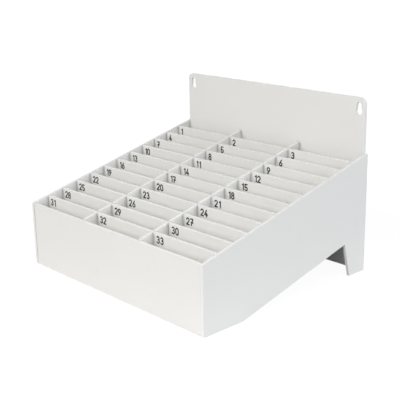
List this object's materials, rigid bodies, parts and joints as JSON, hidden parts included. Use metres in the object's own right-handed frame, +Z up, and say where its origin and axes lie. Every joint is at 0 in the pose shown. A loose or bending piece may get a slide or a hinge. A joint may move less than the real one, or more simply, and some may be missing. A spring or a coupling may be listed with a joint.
{
  "type": "phone docking station",
  "caption": "Sloping desk or wall rack of white sheet boards with numbered upright slots that hold phones, a tall back panel with keyholes and an open rear leg.",
  "frame": {"origin": "on the table, under the middle of the rack's bounding box", "axes": "+Z up, +Y from the low front to the tall back panel, +X to the right seen from the front"},
  "size_m": [0.35, 0.304, 0.24],
  "materials": {
    "white_board": "satin white plastic sheet with fine-grained sawn edges",
    "dark_figures": "matt dark grey film"
  },
  "bodies": {
    "root": {"left_side_panel": "white_board", "right_side_panel": "white_board", "front_panel": "white_board", "back_panel": "white_board", "front_floor": "white_board", "sloping_floor": "white_board", "long_divider_1": "white_board", "long_divider_2": "white_board", "cross_divider_01": "white_board", "cross_divider_02": "white_board", "cross_divider_03": "white_board", "cross_divider_04": "white_board", "cross_divider_05": "white_board", "cross_divider_06": "white_board", "cross_divider_07": "white_board", "cross_divider_08": "white_board", "cross_divider_09": "white_board", "cross_divider_10": "white_board", "cross_divider_11": "white_board", "number_row_01": "dark_figures", "number_row_02": "dark_figures", "number_row_03": "dark_figures", "number_row_04": "dark_figures", "number_row_05": "dark_figures", "number_row_06": "dark_figures", "number_row_07": "dark_figures", "number_row_08": "dark_figures", "number_row_09": "dark_figures", "number_row_10": "dark_figures", "number_row_11": "dark_figures"}
  },
  "joints": []
}
